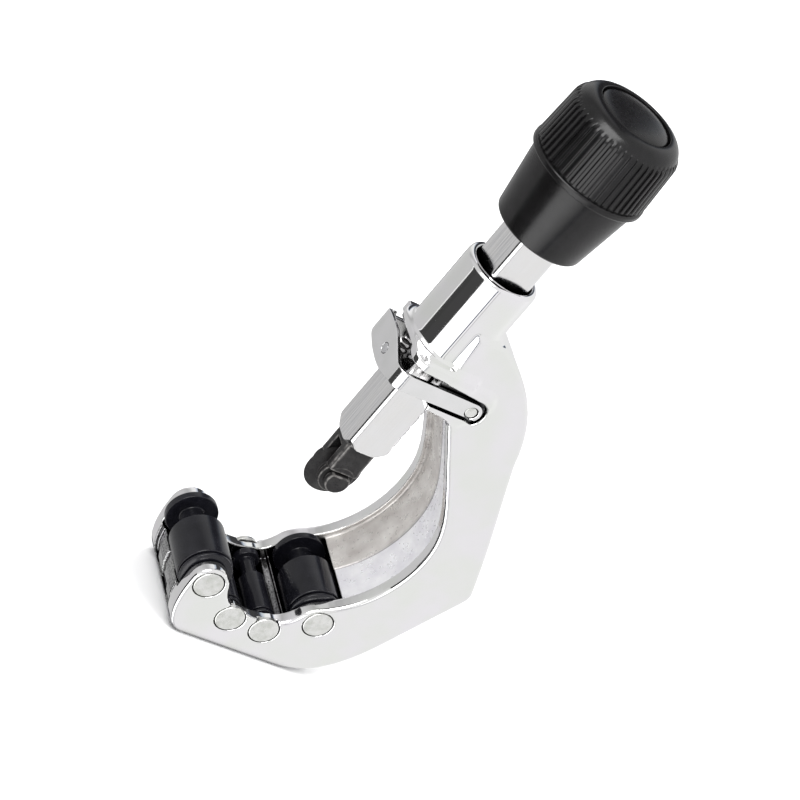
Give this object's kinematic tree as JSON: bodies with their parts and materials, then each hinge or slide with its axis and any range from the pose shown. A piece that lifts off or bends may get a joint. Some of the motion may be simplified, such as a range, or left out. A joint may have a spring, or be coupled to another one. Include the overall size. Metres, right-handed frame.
{
  "type": "pipe cutter",
  "caption": "Quick-acting tube cutter: C-frame with a roller cradle, a latched square slide and a ribbed knob that feeds a cutter wheel.",
  "frame": {"origin": "on the feed axis, in the middle of the frame's width, at the frame's flat base", "axes": "+Z along the feed axis towards the knob, +X towards the spine, -Y towards the cheek with the cutter pin's head"},
  "size_m": [0.0852, 0.038, 0.2095],
  "materials": {
    "frame_chrome": "bright plated casting, satin in the throat channel",
    "latch_chrome": "satin-bright plated strip",
    "slide_steel": "plated square bar, brushed along its length",
    "rivet_steel": "peened and mottled",
    "roller_black": "glossy black oxide",
    "fork_black": "black oxide, worn at its edges",
    "inner_steel": "plain steel",
    "screw_black": "black oxide, oiled",
    "bush_bronze": "plain bronze",
    "knob_plastic": "black satin, finely textured",
    "cap_plastic": "black, semi-gloss"
  },
  "bodies": {
    "frame": {"frame": "frame_chrome", "roller_pin_nose_outer": "rivet_steel", "roller_pin_nose_inner": "rivet_steel", "roller_pin_spine_inner": "rivet_steel", "roller_pin_spine_outer": "rivet_steel", "latch_spring": "inner_steel"},
    "slide": {"slide_bar": "slide_steel", "slide_end_bush": "bush_bronze"},
    "knob": {"feed_screw": "screw_black", "screw_retaining_ring": "inner_steel", "knob_sleeve": "knob_plastic", "knob_grip": "knob_plastic", "knob_nut": "inner_steel", "spare_cutter_wheel": "fork_black"},
    "cap": {"knob_cap": "cap_plastic"},
    "fork": {"cutter_fork": "fork_black", "wheel_pin": "fork_black", "wheel_pin_clip": "inner_steel"},
    "wheel": {"cutter_wheel": "fork_black"},
    "latch": {"latch_bail": "latch_chrome", "latch_pin": "rivet_steel", "latch_pawl": "inner_steel", "latch_spring_bracket": "inner_steel"},
    "roller_nose_outer": {"roller_nose_outer": "roller_black"},
    "roller_nose_inner": {"roller_nose_inner": "roller_black"},
    "roller_spine_inner": {"roller_spine_inner": "roller_black"},
    "roller_spine_outer": {"roller_spine_outer": "roller_black"}
  },
  "joints": [
    {"name": "slide_travel", "type": "slide", "parent": "frame", "child": "slide", "axis": [0, 0, 1], "range_m": [-0.0282, 0.0282]},
    {"name": "knob_spin", "type": "hinge", "parent": "slide", "child": "knob", "pos_m": [0, 0, 0.19], "axis": [0, 0, 1], "range_deg": [-2160, 1080]},
    {"name": "fork_feed", "type": "slide", "parent": "slide", "child": "fork", "axis": [0, 0, 1], "range_m": [-0.009, 0.0045]},
    {"name": "cutter_wheel_spin", "type": "hinge", "parent": "fork", "child": "wheel", "pos_m": [0, 0, 0.0619], "axis": [0, 1, 0], "continuous": true},
    {"name": "latch_pivot", "type": "hinge", "parent": "frame", "child": "latch", "pos_m": [0.0142, 0, 0.1069], "axis": [0, 1, 0], "range_deg": [0, 4], "stiffness_Nm_per_rad": 0.4, "deforming": ["latch_spring"]},
    {"name": "cap_lift", "type": "slide", "parent": "knob", "child": "cap", "axis": [0, 0, 1], "range_m": [0, 0.01]},
    {"name": "roller_nose_outer_spin", "type": "hinge", "parent": "frame", "child": "roller_nose_outer", "pos_m": [-0.02, 0, 0.0199], "axis": [0, 1, 0], "continuous": true},
    {"name": "roller_nose_inner_spin", "type": "hinge", "parent": "frame", "child": "roller_nose_inner", "pos_m": [-0.0062, 0, 0.011], "axis": [0, 1, 0], "continuous": true},
    {"name": "roller_spine_inner_spin", "type": "hinge", "parent": "frame", "child": "roller_spine_inner", "pos_m": [0.0062, 0, 0.011], "axis": [0, 1, 0], "continuous": true},
    {"name": "roller_spine_outer_spin", "type": "hinge", "parent": "frame", "child": "roller_spine_outer", "pos_m": [0.02, 0, 0.0199], "axis": [0, 1, 0], "continuous": true}
  ],
  "couplings": [
    {"joint": "fork_feed", "follows": "knob_spin", "m_per_rad": 0.00023873}
  ]
}
